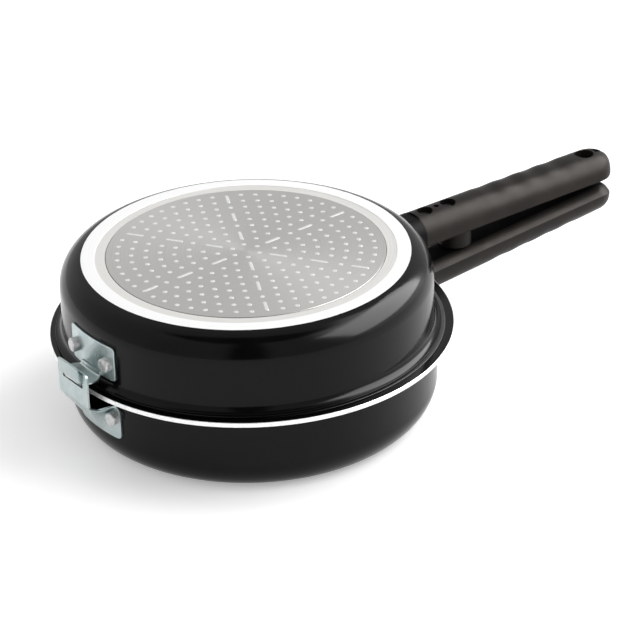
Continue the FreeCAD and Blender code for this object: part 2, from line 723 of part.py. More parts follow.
def make_guard(pan):
    """The hollow collar between the wall and the grip."""
    body = new_body(pan + "_flame_guard")
    start = s["wall_radius"] - s["wall"]
    length = s["grip_start"] - s["fit"] - start
    push(body, "YZ_Plane", [grip_section(pan, s["grip_start"])], length, shift=start)
    push(body, "YZ_Plane", [grip_section(pan, s["grip_start"], inset=s["guard_wall"])],
         length * 2, shift=start, cut=True)
    drill(body, s["wall_radius"] + s["fit"], grip_joint(pan, s["grip_start"]) * 2, (0, 0, 0),
          FreeCAD.Vector(0, 0, 1))
    if pan == "lower":
        drill(body, s["rim_radius"] + s["fit"], s["lower_depth"],
              (0, 0, s["lower_depth"] - s["lower_neck"]), FreeCAD.Vector(0, 0, 1))
    settle(body, pan)


def make_grip(pan):
    """The moulded handle: a long blended body, finger waves, screw bores and hang holes."""
    body = new_body(pan + "_grip")
    bulb = nose_start(pan)
    stations = []
    for row in GRIP_STATION_SHARES:
        place = s["grip_start"] + (bulb - s["grip_start"]) * row[0]
        stations.append((place, *grip_section(pan, place)))
    for step in range(1, NOSE_STEPS + 1):
        turn = math.radians(NOSE_TURN * step / NOSE_STEPS)
        deep = (1 - math.sin(turn) ** NOSE_BLUNTNESS) ** (1 / NOSE_BLUNTNESS)
        stations.append((bulb + s["nose_length"] * math.sin(turn),
                         *grip_section(pan, bulb, across=math.cos(turn), deep=deep)))
    blend(body, stations, "YZ_Plane", ruled=True)
    up = FreeCAD.Vector(0, 0, 1)
    for number in range(FINGER_WAVES):
        place = s["wave_first"] + s["wave_pitch"] * number
        face = edge_height(pan, place) - belly_depth(pan, place)
        drill(body, s["wave_radius"], s["grip_half"] * 4,
              (place, -s["grip_half"] * 2, face + s["wave_depth"] - s["wave_radius"]),
              FreeCAD.Vector(0, 1, 0))
    slot = s["fit"] * 2
    joint = grip_joint(pan, s["grip_start"])
    half = s["tang_half"] + slot
    thick = s["tang_thickness"] / 2 + slot
    middle = joint - s["tang_depth"]
    push(body, "YZ_Plane", [([(half, middle - thick), (half, middle + thick), (-half, middle + thick),
                              (-half, middle - thick)], None)],
         s["tang_end"] - s["grip_start"] + slot * 2, shift=s["grip_start"], cut=True)
    below = joint - s["grip_belly"] * 2
    seat = joint - s["screw_seat"]
    for place in (s["screw_near"], s["screw_far"]):
        drill(body, s["screw_bore_radius"], seat - below, (place, 0, below), up)
        drill(body, s["screw_radius"] + s["fit"], joint - s["screw_reach"] - seat, (place, 0, seat), up)
    drill(body, s["pin_hole_radius"], seat - below, (s["pin_place"], 0, below), up)
    tip = s["hang_tip_half"]
    end = s[pan + "_grip_end"]
    base = end - s["hang_far"] + s["hang_bar"]
    crown = end - s["hang_tip"] - tip
    push(body, "XY_Plane",
         [stadium(end - s["hang_near"], end - s["hang_far"], s["hang_half"]),
          ([(base, -tip), (crown, -tip), (crown + tip, 0), (crown, tip), (base, tip)],
           {1: (tip, 1), 2: (tip, 1)})],
         s["grip_belly"] * 6, shift=joint, both=True, cut=True)
    if pan == "upper":
        drill(body, s["cup_radius"] + s["fit"], s["overrun"] * 2,
              (s["magnet_place"], 0, joint - s["cup_root"] - s["fit"]), up)
    else:
        top = keeper_top()
        drill(body, s["keeper_radius"] + s["fit"], s["overrun"] * 2,
              (s["keeper_place"], 0, top - s["keeper_thickness"] - s["fit"]), up)
    settle(body, pan)


def make_screw(pan, which, place):
    """A handle screw, head down in its bore, shank up through the tang."""
    body = new_body("%s_grip_screw_%s" % (pan, which))
    joint = grip_joint(pan, s["grip_start"])
    seat = joint - s["screw_seat"] - s["fit"]
    end = joint - s["screw_reach"] - s["fit"]
    radius = s["screw_radius"]
    revolve(body, [(0, seat - s["screw_head_height"]),
                   (s["screw_head_radius"] - radius / 2, seat - s["screw_head_height"]),
                   (s["screw_head_radius"], seat - s["screw_head_height"] + radius / 2),
                   (s["screw_head_radius"], seat), (radius, seat), (radius, end - radius / 2),
                   (radius / 2, end), (0, end)], {1: (radius / 2, 1)})
    settle(body, pan, along=place)


# Magnet catch between the handles

def keeper_top():
    """Height of the keeper's face, just under the sloping joint face of the lower grip."""
    return grip_joint("lower", s["keeper_place"]) - s["keeper_sink"]


def cup_face():
    """Height of the cup's open face in the upper pan's own frame, just clear of the lower grip."""
    return closed_height - grip_joint("lower", s["keeper_place"]) - s["cup_gap"]


def make_magnet_cup():
    body = new_body("upper_magnet_cup")
    root = grip_joint("upper", s["grip_start"]) - s["cup_root"]
    face = cup_face()
    hole = s["magnet_radius"] + s["fit"]
    floor = face - s["magnet_sink"] - s["magnet_thickness"] - s["fit"]
    bend = s["cup_round"]
    revolve(body, [(0, root), (s["cup_radius"], root), (s["cup_radius"], face - bend),
                   (s["cup_radius"] - bend, face), (hole, face), (hole, floor), (0, floor)],
            {2: (bend, 1)})
    settle(body, "upper", along=s["magnet_place"])


def make_disc(label, pan, place, radius, thickness, top):
    body = new_body(label)
    foot = top - thickness
    revolve(body, [(0, foot), (radius, foot), (radius, top), (0, top)])
    settle(body, pan, along=place)


doc = FreeCAD.newDocument("flip_pan")
bodies = []
s = make_sheet()
closed_height = s["lower_depth"] + s["seal_gap"] + s["upper_depth"]
lower_rim_in_upper = closed_height - s["lower_depth"]

for pan in ("lower", "upper"):
    make_shell(pan)
    make_plate(pan)
    for side in ("left", "right"):
        make_rivet(pan, "hinge", side)
        make_rivet(pan, "handle", side)
    make_handle_bracket(pan)
    make_guard(pan)
    make_grip(pan)
    make_screw(pan, "inner", s["screw_near"])
    make_screw(pan, "outer", s["screw_far"])
make_seal()
make_lower_bracket()
make_upper_hook()
make_magnet_cup()
make_disc("upper_magnet", "upper", s["magnet_place"], s["magnet_radius"], s["magnet_thickness"],
          cup_face() - s["magnet_sink"])
make_disc("lower_keeper", "lower", s["keeper_place"], s["keeper_radius"], s["keeper_thickness"],
          keeper_top())

doc.recompute()
for item in doc.Objects:
    if "Invalid" in item.State or "Error" in item.State:
        raise RuntimeError("%s did not rebuild: %s" % (item.Label, item.State))

os.makedirs("parts", exist_ok=True)
for body in bodies:
    if body.Shape.isNull() or not body.Shape.isValid() or len(body.Shape.Solids) != 1:
        raise RuntimeError("%s has no sound solid" % body.Label)
    body.Shape.exportStep("parts/%s.step" % body.Label)
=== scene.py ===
import math

import bmesh
import bpy
from mathutils import Matrix, Vector


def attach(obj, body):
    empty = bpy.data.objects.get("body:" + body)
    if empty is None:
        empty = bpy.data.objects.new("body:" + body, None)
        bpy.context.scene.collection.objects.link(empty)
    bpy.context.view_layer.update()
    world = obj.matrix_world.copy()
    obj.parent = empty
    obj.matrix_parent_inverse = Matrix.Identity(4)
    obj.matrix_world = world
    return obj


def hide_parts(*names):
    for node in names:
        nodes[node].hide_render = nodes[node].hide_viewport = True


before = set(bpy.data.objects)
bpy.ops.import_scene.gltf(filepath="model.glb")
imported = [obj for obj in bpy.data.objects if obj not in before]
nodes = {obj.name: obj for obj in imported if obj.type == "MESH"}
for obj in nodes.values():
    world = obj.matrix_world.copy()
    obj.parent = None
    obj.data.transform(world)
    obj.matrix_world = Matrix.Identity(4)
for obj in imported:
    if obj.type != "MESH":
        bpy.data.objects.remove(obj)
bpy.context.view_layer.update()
scene = bpy.context.scene

# Sizes in metres, most of them the same as in the part's source
MM = 0.001
RIM = 58.0 * MM
UPPER_DEPTH = 51.2 * MM
CLOSED = 109.8 * MM
UPPER_SHIFT = 2.8 * MM
WALL_RADIUS = 120.5 * MM
WALL = 2.5 * MM
FOOT_RADIUS = 106.0 * MM
FOOT_WIDTH = 9.0 * MM
FOOT_STEP = 0.3 * MM
BASE = 4.0 * MM
PLATE_RADIUS = 90.0 * MM
PLATE_THICKNESS = 0.8 * MM
PLATE_GAP = 0.35 * MM
RIM_RADIUS = 131.4 * MM
RIM_EDGE = 3.1 * MM
LEDGE_RADIUS = 125.7 * MM
LEDGE_DEPTH = 1.7 * MM
FLANGE_RADIUS = 125.3 * MM
FLANGE_EDGE = 1.6 * MM
CORNER = {"lower": 22.0 * MM, "upper": 18.0 * MM}
NECK = {"lower": 9.0 * MM, "upper": 7.2 * MM}
# Per pan: radius of the lip, radius where its underside begins, thickness
LIP = {"lower": (RIM_RADIUS, 128.5 * MM, RIM_EDGE), "upper": (FLANGE_RADIUS, 124.6 * MM, FLANGE_EDGE)}
SHELL_EASE = 0.35 * MM
SEAL_INSET = 0.4 * MM
SEAL_HEIGHT = 2.0 * MM
SEAL_BEND = 0.4 * MM
FIT = 0.05 * MM
GRIP_START = 139.0 * MM
GRIP_END = {"lower": 311.3 * MM, "upper": 314.3 * MM}
EDGE_NEAR = {"lower": -6.6 * MM, "upper": 15.6 * MM}
EDGE_FAR = {"lower": 5.0 * MM, "upper": 16.3 * MM}
GRIP_HALF = 15.4 * MM
GRIP_CROWN = 5.0 * MM
GRIP_BELLY = 18.4 * MM
INNER_FLAT_HALF = 4.0 * MM
NOSE_LENGTH = 16.0 * MM
NOSE_MIDDLE_SHARE = 0.42
NOSE_BLUNTNESS = 2.3
ROUND_STEPS = 288

# The upper pan is drawn like the lower one and then turned over
TURNED_OVER = Matrix.Translation((-UPPER_SHIFT, 0, CLOSED)) @ Matrix.Rotation(math.pi, 4, "X")
PLACE = {"lower": Matrix.Identity(4), "upper": TURNED_OVER}


# Materials

def rgba(value):
    """A grey or a colour, fully opaque."""
    return (*value, 1) if isinstance(value, tuple) else (value, value, value, 1)


class Paint:
    """A material under construction: its shader and short ways to add nodes."""

    def __init__(self, name, color, roughness, metallic=0.0):
        self.material = bpy.data.materials.new(name)
        self.material.use_nodes = True
        self.tree = self.material.node_tree
        self.shader = self.tree.nodes["Principled BSDF"]
        self.shader.inputs["Base Color"].default_value = rgba(color)
        self.shader.inputs["Roughness"].default_value = roughness
        self.shader.inputs["Metallic"].default_value = metallic
        self.place = self.node("ShaderNodeTexCoord").outputs["Object"]

    def node(self, kind, **settings):
        made = self.tree.nodes.new(kind)
        for name, value in settings.items():
            setattr(made, name, value)
        return made

    def link(self, source, target):
        self.tree.links.new(source, target)

    def noise(self, scale, detail=3.0, stretch=(1, 1, 1)):
        """Noise in metres, finer as scale grows."""
        mapping = self.node("ShaderNodeMapping")
        mapping.inputs["Scale"].default_value = stretch
        self.link(self.place, mapping.inputs["Vector"])
        noise = self.node("ShaderNodeTexNoise")
        noise.inputs["Scale"].default_value = scale
        noise.inputs["Detail"].default_value = detail
        self.link(mapping.outputs["Vector"], noise.inputs["Vector"])
        return noise.outputs["Fac"]

    def ramp(self, source, low, high, start=0.35, end=0.65):
        """Spread a value between two greys or colours."""
        ramp = self.node("ShaderNodeValToRGB")
        first, last = ramp.color_ramp.elements
        first.position = start
        last.position = end
        first.color = rgba(low)
        last.color = rgba(high)
        self.link(source, ramp.inputs["Fac"])
        return ramp.outputs["Color"]

    def color(self, source):
        self.link(source, self.shader.inputs["Base Color"])

    def roughness(self, source):
        self.link(source, self.shader.inputs["Roughness"])

    def gloss(self, level):
        self.shader.inputs["Specular IOR Level"].default_value = level

    def bump(self, source, strength, distance):
        bump = self.node("ShaderNodeBump")
        bump.inputs["Strength"].default_value = strength
        bump.inputs["Distance"].default_value = distance
        self.link(source, bump.inputs["Height"])
        self.link(bump.outputs["Normal"], self.shader.inputs["Normal"])

    def radius(self):
        """Distance from the pan's axis."""
        flat = self.node("ShaderNodeVectorMath", operation="MULTIPLY")
        flat.inputs[1].default_value = (1, 1, 0)
        self.link(self.place, flat.inputs[0])
        length = self.node("ShaderNodeVectorMath", operation="LENGTH")
        self.link(flat.outputs["Vector"], length.inputs[0])
        return length.outputs["Value"]

    def turning(self, scale, detail=4.0):
        """Fine rings, as a lathe leaves them: noise that only changes with radius."""
        noise = self.node("ShaderNodeTexNoise", noise_dimensions="1D")
        noise.inputs["Scale"].default_value = scale
        noise.inputs["Detail"].default_value = detail
        self.link(self.radius(), noise.inputs["W"])
        return noise.outputs["Fac"]

    def around(self):
        """Grain that runs in circles about the pan's axis."""
        tangent = self.node("ShaderNodeTangent", direction_type="RADIAL", axis="Z")
        self.link(tangent.outputs["Tangent"], self.shader.inputs["Tangent"])


def enamel():
    paint = Paint("gloss_black_enamel", (0.002, 0.002, 0.0022), 0.14)
    paint.gloss(0.13)
    paint.color(paint.ramp(paint.noise(60), (0.0016, 0.0016, 0.0018), (0.0024, 0.0024, 0.0027)))
    paint.roughness(paint.ramp(paint.noise(35), 0.12, 0.17))
    paint.bump(paint.noise(420, 2.0), 0.04, 0.0002)
    return paint.material


def nonstick():
    paint = Paint("nonstick_coating", (0.02, 0.02, 0.021), 0.42)
    paint.color(paint.ramp(paint.noise(900, 2.0), (0.014, 0.014, 0.015), (0.05, 0.05, 0.052), 0.55, 0.75))
    paint.roughness(paint.ramp(paint.turning(900), 0.36, 0.5))
    paint.bump(paint.turning(700), 0.25, 0.0002)
    return paint.material


def bright_edge():
    paint = Paint("turned_rim_edge", (0.93, 0.93, 0.93), 0.3, 0.55)
    paint.color(paint.ramp(paint.noise(150), 0.88, 0.96))
    paint.roughness(paint.ramp(paint.noise(220, 3.0, (1, 1, 12)), 0.26, 0.36))
    return paint.material


def turned_foot():
    paint = Paint("turned_foot_ring", (0.88, 0.88, 0.88), 0.42, 0.2)
    paint.color(paint.ramp(paint.turning(1200), 0.85, 0.91))
    paint.roughness(paint.ramp(paint.turning(1500), 0.34, 0.46))
    paint.around()
    return paint.material


def turned_step():
    paint = Paint("turned_base_step", (0.7, 0.69, 0.67), 0.38, 0.35)
    paint.color(paint.ramp(paint.turning(900), (0.66, 0.65, 0.63), (0.74, 0.73, 0.71)))
    paint.roughness(paint.ramp(paint.turning(1400), 0.3, 0.42))
    paint.around()
    return paint.material


def base_steel():
    paint = Paint("brushed_base_steel", (0.5, 0.5, 0.49), 0.34, 0.8)
    paint.shader.inputs["Anisotropic"].default_value = 0.45
    paint.shader.inputs["Anisotropic Rotation"].default_value = 0.25
    paint.color(paint.ramp(paint.turning(1600), (0.47, 0.465, 0.45), (0.54, 0.535, 0.52)))
    paint.roughness(paint.ramp(paint.turning(2200), 0.3, 0.4))
    paint.around()
    return paint.material


def pressed_aluminium():
    paint = Paint("aluminium_through_the_plate", (0.74, 0.74, 0.72), 0.34, 0.5)
    paint.color(paint.ramp(paint.noise(500), 0.69, 0.8))
    paint.roughness(paint.ramp(paint.noise(900), 0.28, 0.4))
    return paint.material


def zinc():
    paint = Paint("bright_zinc_plating", (0.44, 0.51, 0.51), 0.34, 0.9)
    paint.color(paint.ramp(paint.noise(90, 4.0), (0.4, 0.48, 0.485), (0.5, 0.555, 0.55)))
    paint.roughness(paint.ramp(paint.noise(160, 3.0), 0.27, 0.42))
    paint.bump(paint.noise(1300, 2.0), 0.06, 0.0002)
    return paint.material


def rivet_metal():
    paint = Paint("rivet_aluminium", (0.62, 0.61, 0.59), 0.42, 0.6)
    paint.color(paint.ramp(paint.noise(500, 4.0), 0.5, 0.68))
    paint.roughness(paint.ramp(paint.noise(700), 0.34, 0.5))
    paint.bump(paint.noise(900, 3.0), 0.15, 0.0003)
    return paint.material


def moulded(name, color, gloss, roughness, dark, light, smoothest, roughest):
    """Bakelite, its colour and its roughness drifting between two values."""
    paint = Paint(name, color, roughness)
    paint.gloss(gloss)
    paint.color(paint.ramp(paint.noise(45, 5.0), dark, light))
    paint.roughness(paint.ramp(paint.noise(120, 4.0), smoothest, roughest))
    return paint


def bakelite():
    paint = moulded("dark_bakelite", (0.012, 0.01, 0.009), 0.105, 0.4,
                    (0.01, 0.0085, 0.0075), (0.015, 0.0125, 0.011), 0.36, 0.46)
    paint.shader.inputs["Specular Tint"].default_value = (1.0, 0.93, 0.87, 1)
    paint.bump(paint.noise(2600, 2.0), 0.12, 0.0002)
    return paint.material


def bakelite_half_shade():
    """Painted half shade: bakelite darker than the lit outside, between it and the painted shade of the
    faces towards the other grip.
    """
    return moulded("bakelite_half_shade", (0.008, 0.007, 0.006), 0.07, 0.48,
                   (0.006, 0.005, 0.0045), (0.009, 0.0075, 0.0065), 0.44, 0.54).material


def bakelite_painted_shade():
    """Painted shade: near-black bakelite with little gloss on the faces towards the other grip, for the
    shadow in the gap between the grips.
    """
    return moulded("bakelite_inner_painted_shade", (0.003, 0.0026, 0.0024), 0.02, 0.6,
                   (0.0018, 0.0015, 0.0014), (0.003, 0.0026, 0.0024), 0.55, 0.7).material


def guard_black():
    paint = Paint("guard_black_enamel", (0.003, 0.003, 0.003), 0.45)
    paint.gloss(0.05)
    paint.color(paint.ramp(paint.noise(80), 0.0024, 0.004))
    paint.roughness(paint.ramp(paint.noise(200), 0.4, 0.52))
    return paint.material


def silicone():
    paint = Paint("black_silicone", (0.012, 0.012, 0.012), 0.6)
    paint.color(paint.ramp(paint.noise(120), 0.01, 0.016))
    paint.roughness(paint.ramp(paint.noise(400), 0.55, 0.68))
    return paint.material


def screw_painted_dark():
    # Painted shade: the screw heads are painted nearly black, for the shadow of the deep bores they sit in
    paint = Paint("screw_painted_bore_shade", (0.02, 0.02, 0.02), 0.35, 0.6)
    paint.color(paint.ramp(paint.noise(900), 0.012, 0.03))
    paint.roughness(paint.ramp(paint.noise(1200), 0.3, 0.45))
    return paint.material


def magnet_face():
    paint = Paint("magnet_nickel", (0.4, 0.4, 0.41), 0.35, 0.9)
    paint.color(paint.ramp(paint.noise(500), 0.34, 0.44))
    paint.roughness(paint.ramp(paint.noise(800), 0.3, 0.42))
    return paint.material


PAINTS = {
    "enamel": enamel(), "nonstick": nonstick(), "edge": bright_edge(), "foot": turned_foot(),
    "step": turned_step(), "steel": base_steel(), "dots": pressed_aluminium(), "zinc": zinc(),
    "rivet": rivet_metal(), "bakelite": bakelite(), "half_shade": bakelite_half_shade(),
    "inside": bakelite_painted_shade(), "guard": guard_black(), "silicone": silicone(),
    "screw": screw_painted_dark(), "magnet": magnet_face(),
}


# Mesh helpers

WELD = 0.001 * MM
WELD_AFTER_CUTS = 0.01 * MM


def add_object(name, data):
    made = bpy.data.objects.new(name, data)
    scene.collection.objects.link(made)
    return made


def add_mesh(name, vertices, faces):
    mesh = bpy.data.meshes.new(name)
    mesh.from_pydata(vertices, [], faces)
    return add_object(name, mesh)


def make_piece(name, vertices, faces, paints, indices=None, body=None, place=None, sharp=35):
    """A mesh piece with smooth faces, in its place and riding on its pan."""
    piece = add_mesh(name, vertices, faces)
    mesh = piece.data
    for paint in paints:
        mesh.materials.append(PAINTS[paint])
    if indices:
        mesh.polygons.foreach_set("material_index", indices)
    if place is not None:
        mesh.transform(place)
        if place.determinant() < 0:
            mesh.flip_normals()
    clean(mesh, sharp)
    if body:
        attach(piece, body + "_pan")
    return piece


def clean(mesh, sharp, weld=WELD):
    """Weld what coincides, turn every face outwards and smooth all but the sharp edges."""
    work = bmesh.new()
    work.from_mesh(mesh)
    bmesh.ops.remove_doubles(work, verts=work.verts, dist=weld)
    bmesh.ops.recalc_face_normals(work, faces=work.faces)
    work.to_mesh(mesh)
    work.free()
    mesh.shade_smooth()
    mesh.set_sharp_from_angle(angle=math.radians(sharp))


def ease_edges(piece, width, angle):
    """A small bevel on the edges that turn by more than the angle."""
    bevel = piece.modifiers.new("edges", "BEVEL")
    bevel.width = width
    bevel.segments = 2
    bevel.limit_method = "ANGLE"
    bevel.angle_limit = math.radians(angle)


def cut_and_ease(piece, tools, edge):
    """Cut the tools out of a piece, ease its edges where a width is given, and keep the result."""
    for tool in tools:
        cut = piece.modifiers.new(tool.name, "BOOLEAN")
        cut.operation = "DIFFERENCE"
        cut.solver = "EXACT"
        cut.object = tool
    if edge:
        ease_edges(piece, edge, 50)
    bpy.context.view_layer.update()
    result = bpy.data.meshes.new_from_object(piece.evaluated_get(bpy.context.evaluated_depsgraph_get()))
    piece.modifiers.clear()
    piece.data = result
    clean(result, 40, WELD_AFTER_CUTS)
    for tool in tools:
        bpy.data.objects.remove(tool)


def lathe(profile, closed=True, steps=ROUND_STEPS):
    """Vertices and faces of a profile turned about Z, and the profile segment of each face."""
    vertices = []
    for step in range(steps):
        angle = 2 * math.pi * step / steps
        for radius, height in profile:
            vertices.append((radius * math.cos(angle), radius * math.sin(angle), height))
    faces = []
    segments = []
    count = len(profile)
    for step in range(steps):
        here = step * count
        there = (step + 1) % steps * count
        for number in range(count if closed else count - 1):
            after = (number + 1) % count
            if profile[number][0] == 0 and profile[after][0] == 0:
                continue
            faces.append((here + number, there + number, there + after, here + after))
            segments.append(number)
    return vertices, faces, segments


def bow(centre, radius, start, end, steps):
    """Points of an arc, angles in degrees."""
    points = []
    for step in range(steps + 1):
        angle = math.radians(start + (end - start) * step / steps)
        points.append((centre[0] + radius * math.cos(angle), centre[1] + radius * math.sin(angle)))
    return points


def arc_through(start, end, radius, turn, steps):
    """Points of the short arc between two points, bending left (turn 1) or right (turn -1)."""
    a = Vector(start)
    b = Vector(end)
    chord = b - a
    left = Vector((-chord.y, chord.x)).normalized()
    reach = math.sqrt(max(radius * radius - chord.length_squared / 4, 0))
    centre = (a + b) / 2 + left * reach * turn
    first = math.degrees(math.atan2(a.y - centre.y, a.x - centre.x))
    last = math.degrees(math.atan2(b.y - centre.y, b.x - centre.x))
    while turn > 0 and last < first:
        last += 360
    while turn < 0 and last > first:
        last -= 360
    return bow(centre, radius, first, last, steps)


def eased(before, corner, after, amount, steps=4):
    """A corner of a profile rounded off with a small curve."""
    c = Vector(corner)
    a = c + (Vector(before) - c).normalized() * amount
    b = c + (Vector(after) - c).normalized() * amount
    points = []
    for step in range(steps + 1):
        t = step / steps
        points.append(tuple(a * (1 - t) ** 2 + c * 2 * t * (1 - t) + b * t * t))
    return points


# Pan bodies

def shell_profile(pan):
    """Profile of a pan body as (points, paint) runs, all the way round the section."""
    lower = pan == "lower"
    depth = RIM if lower else UPPER_DEPTH
    corner = CORNER[pan]
    neck = NECK[pan]
    lip, lip_under, lip_edge = LIP[pan]
    ease = SHELL_EASE
    inner = WALL_RADIUS - WALL
    inner_corner = corner - WALL
    overhang = FOOT_RADIUS - WALL_RADIUS + corner
    foot_centre = math.sqrt(corner * corner - overhang * overhang)
    rise = neck - lip_edge
    flare = lip_under - WALL_RADIUS
    neck_radius = (rise * rise + flare * flare) / (flare * 2)
    band = FOOT_RADIUS - FOOT_WIDTH
    seat = PLATE_RADIUS + PLATE_GAP
    runs = [
        ([(0, PLATE_THICKNESS), (seat, PLATE_THICKNESS), (seat, FOOT_STEP)], "enamel"),
        ([(seat, FOOT_STEP), (band, FOOT_STEP)], "step"),
        ([(band, FOOT_STEP), (band, 0), (FOOT_RADIUS - ease, 0)], "foot"),
        ([(FOOT_RADIUS - ease, 0), (FOOT_RADIUS, ease * 0.15)], "foot"),
        (arc_through((FOOT_RADIUS, ease * 0.15), (WALL_RADIUS, foot_centre), corner, 1, 28), "enamel"),
        ([(WALL_RADIUS, foot_centre), (WALL_RADIUS, depth - neck)], "enamel"),
        (arc_through((WALL_RADIUS, depth - neck), (lip_under, depth - lip_edge), neck_radius, -1, 14),
         "enamel"),
        ([(lip_under, depth - lip_edge), (lip - ease, depth - lip_edge)], "enamel"),
    ]
    under = eased((lip_under, depth - lip_edge), (lip, depth - lip_edge), (lip, depth), ease)
    over = eased((lip, depth - lip_edge), (lip, depth), (inner, depth), ease)
    runs.append((under + over, "edge" if lower else "enamel"))
    if lower:
        ledge = depth - LEDGE_DEPTH
        runs.append(([over[-1], (LEDGE_RADIUS, depth), (LEDGE_RADIUS, ledge), (inner, ledge)], "enamel"))
        start = (inner, ledge)
    else:
        runs.append(([over[-1], (inner + ease, depth)], "edge"))
        start = (inner, depth - ease)
        runs.append(([(inner + ease, depth), start], "edge"))
    runs.append(([start, (inner, BASE + inner_corner)], "nonstick"))
    floor_edge = (WALL_RADIUS - corner, BASE)
    runs.append((arc_through((inner, BASE + inner_corner), floor_edge, inner_corner, -1, 20), "nonstick"))
    runs.append(([floor_edge, (0, BASE)], "nonstick"))
    return runs


def make_shell(pan):
    paints = ["enamel", "nonstick", "edge", "foot", "step"]
    profile = []
    segment_paints = []
    for points, paint in shell_profile(pan):
        if profile and (Vector(profile[-1]) - Vector(points[0])).length > 1e-7:
            segment_paints.append(paints.index(paint))
            profile.append(points[0])
        elif not profile:
            profile.append(points[0])
        for point in points[1:]:
            segment_paints.append(paints.index(paint))
            profile.append(point)
    vertices, faces, segments = lathe(profile, closed=False)
    indices = [segment_paints[segment] for segment in segments]
    piece = make_piece(pan + "_pan_body", vertices, faces, paints, indices, pan, PLACE[pan])
    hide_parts(pan + "_pan_shell")


def make_seal():
    inner = WALL_RADIUS - WALL + SEAL_INSET
    outer = LEDGE_RADIUS - FIT
    foot = RIM - LEDGE_DEPTH
    head = foot + SEAL_HEIGHT
    bend = SEAL_BEND
    profile = [(inner, foot), (outer, foot), (outer, head - bend)]
    profile += bow((outer - bend, head - bend), bend, 0, 90, 4)[1:]
    profile += bow((inner + bend, head - bend), bend, 90, 180, 4)
    vertices, faces, _ = lathe(profile)
    piece = make_piece("seal_ring", vertices, faces, ["silicone"], None, "lower", None)
    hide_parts("rim_seal")


# Induction plates

PLATE_EASE = 0.1 * MM
DOT_RINGS = 9
DOT_PITCH = 9.2 * MM
DOT_RADIUS = 1.6 * MM
# A dot is a dash that is all but as wide as it is long
DOT_WIDTH_SHARE = 0.999
DASH_REACH = 6.0 * MM
DASH_HALF = 1.1 * MM
DASH_RADII = [22.0 * MM, 49.6 * MM, 77.2 * MM]
SPOKES = 6
SPOKE_TURN = math.radians(-2.8)
DASH_RINGS = (2, 3, 5, 6, 8, 9)
STUD_ARC_STEPS = 7
# A pad's edge, as share of its width and height. The plate's face is at 0 and outwards is down
STUD_RINGS = [(1.0, 0.03 * MM), (0.93, -0.05 * MM), (0.7, -0.09 * MM)]


def make_plate(pan):
    """The steel plate with its turned edge."""
    profile = [(0, 0), (PLATE_RADIUS - PLATE_EASE, 0), (PLATE_RADIUS, PLATE_EASE),
               (PLATE_RADIUS, PLATE_THICKNESS), (0, PLATE_THICKNESS)]
    vertices, faces, _ = lathe(profile, closed=False)
    piece = make_piece(pan + "_plate", vertices, faces, ["steel"], None, pan, PLACE[pan])
    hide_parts(pan + "_induction_plate")


def stud(centre, half_length, half_width, turn):
    """One low pad with round ends and a sloping edge, as (vertices, faces)."""
    outer = []
    for end in (1, -1):
        for step in range(STUD_ARC_STEPS):
            angle = math.pi * (step / (STUD_ARC_STEPS - 1) - 0.5) + (0 if end == 1 else math.pi)
            outer.append((end * (half_length - half_width) + half_width * math.cos(angle),
                          half_width * math.sin(angle)))
    turned = Matrix.Rotation(turn, 3, "Z")
    vertices = []
    for share, height in STUD_RINGS:
        shrink = half_width * (1 - share)
        for x, y in outer:
            length = math.hypot(x, y)
            pull = 1 - shrink / length if length > shrink else 0.0
            point = turned @ Vector((x * pull, y * pull, 0))
            vertices.append((centre[0] + point.x, centre[1] + point.y, height))
    count = len(outer)
    faces = []
    last = len(STUD_RINGS) - 1
    for ring in range(last):
        for number in range(count):
            after = (number + 1) % count
            faces.append((ring * count + number, ring * count + after, (ring + 1) * count + after,
                          (ring + 1) * count + number))
    faces.append(tuple(range(last * count, (last + 1) * count)))
    return vertices, faces


def make_studs(pan):
    """Dots in rings and dashes on the spokes, where the pan's aluminium fills the plate."""
    vertices = []
    faces = []

    def add(piece):
        offset = len(vertices)
        vertices.extend(piece[0])
        faces.extend(tuple(number + offset for number in face) for face in piece[1])

    for ring in range(1, DOT_RINGS + 1):
        count = SPOKES * ring
        for number in range(count):
            if number % ring == 0 and ring in DASH_RINGS:
                continue
            angle = 2 * math.pi * number / count
            centre = (ring * DOT_PITCH * math.cos(angle), ring * DOT_PITCH * math.sin(angle))
            add(stud(centre, DOT_RADIUS, DOT_RADIUS * DOT_WIDTH_SHARE, angle))
    for spoke in range(SPOKES):
        angle = 2 * math.pi * spoke / SPOKES
        for radius in DASH_RADII:
            centre = (radius * math.cos(angle), radius * math.sin(angle))
            add(stud(centre, DASH_REACH, DASH_HALF, angle))
    place = PLACE[pan] @ Matrix.Rotation(SPOKE_TURN, 4, "Z")
    make_piece(pan + "_plate_studs", vertices, faces, ["dots"], None, pan, place)


# Grips

# Shares at stations up to where the nose begins: place, half width, depth of the belly
GRIP_STATION_SHARES = [(0.0, 0.985, 1.0), (0.8, 1.06, 0.915), (1.0, 1.09, 0.87)]
STATION_BLEND = 0.12
BELLY_SQUARENESS = 2.25
BELLY_STEPS = 26
CROWN_STEPS = 14
GRIP_STEPS = 130
NOSE_STEPS = 22
NOSE_TURN = math.radians(87)
# Faces of a section, counted from the belly's middle: the first with the painted half shade, and
# how many have it before the painted shade of the faces towards the other grip begins
SHADED_FACE_FIRST = 33
HALF_SHADE_FACES = 2
WAVES = 4
WAVE_FIRST = 205.5 * MM
WAVE_PITCH = 20.7 * MM
WAVE_DEPTH = 0.62 * MM
WAVE_REACH = 10.5 * MM
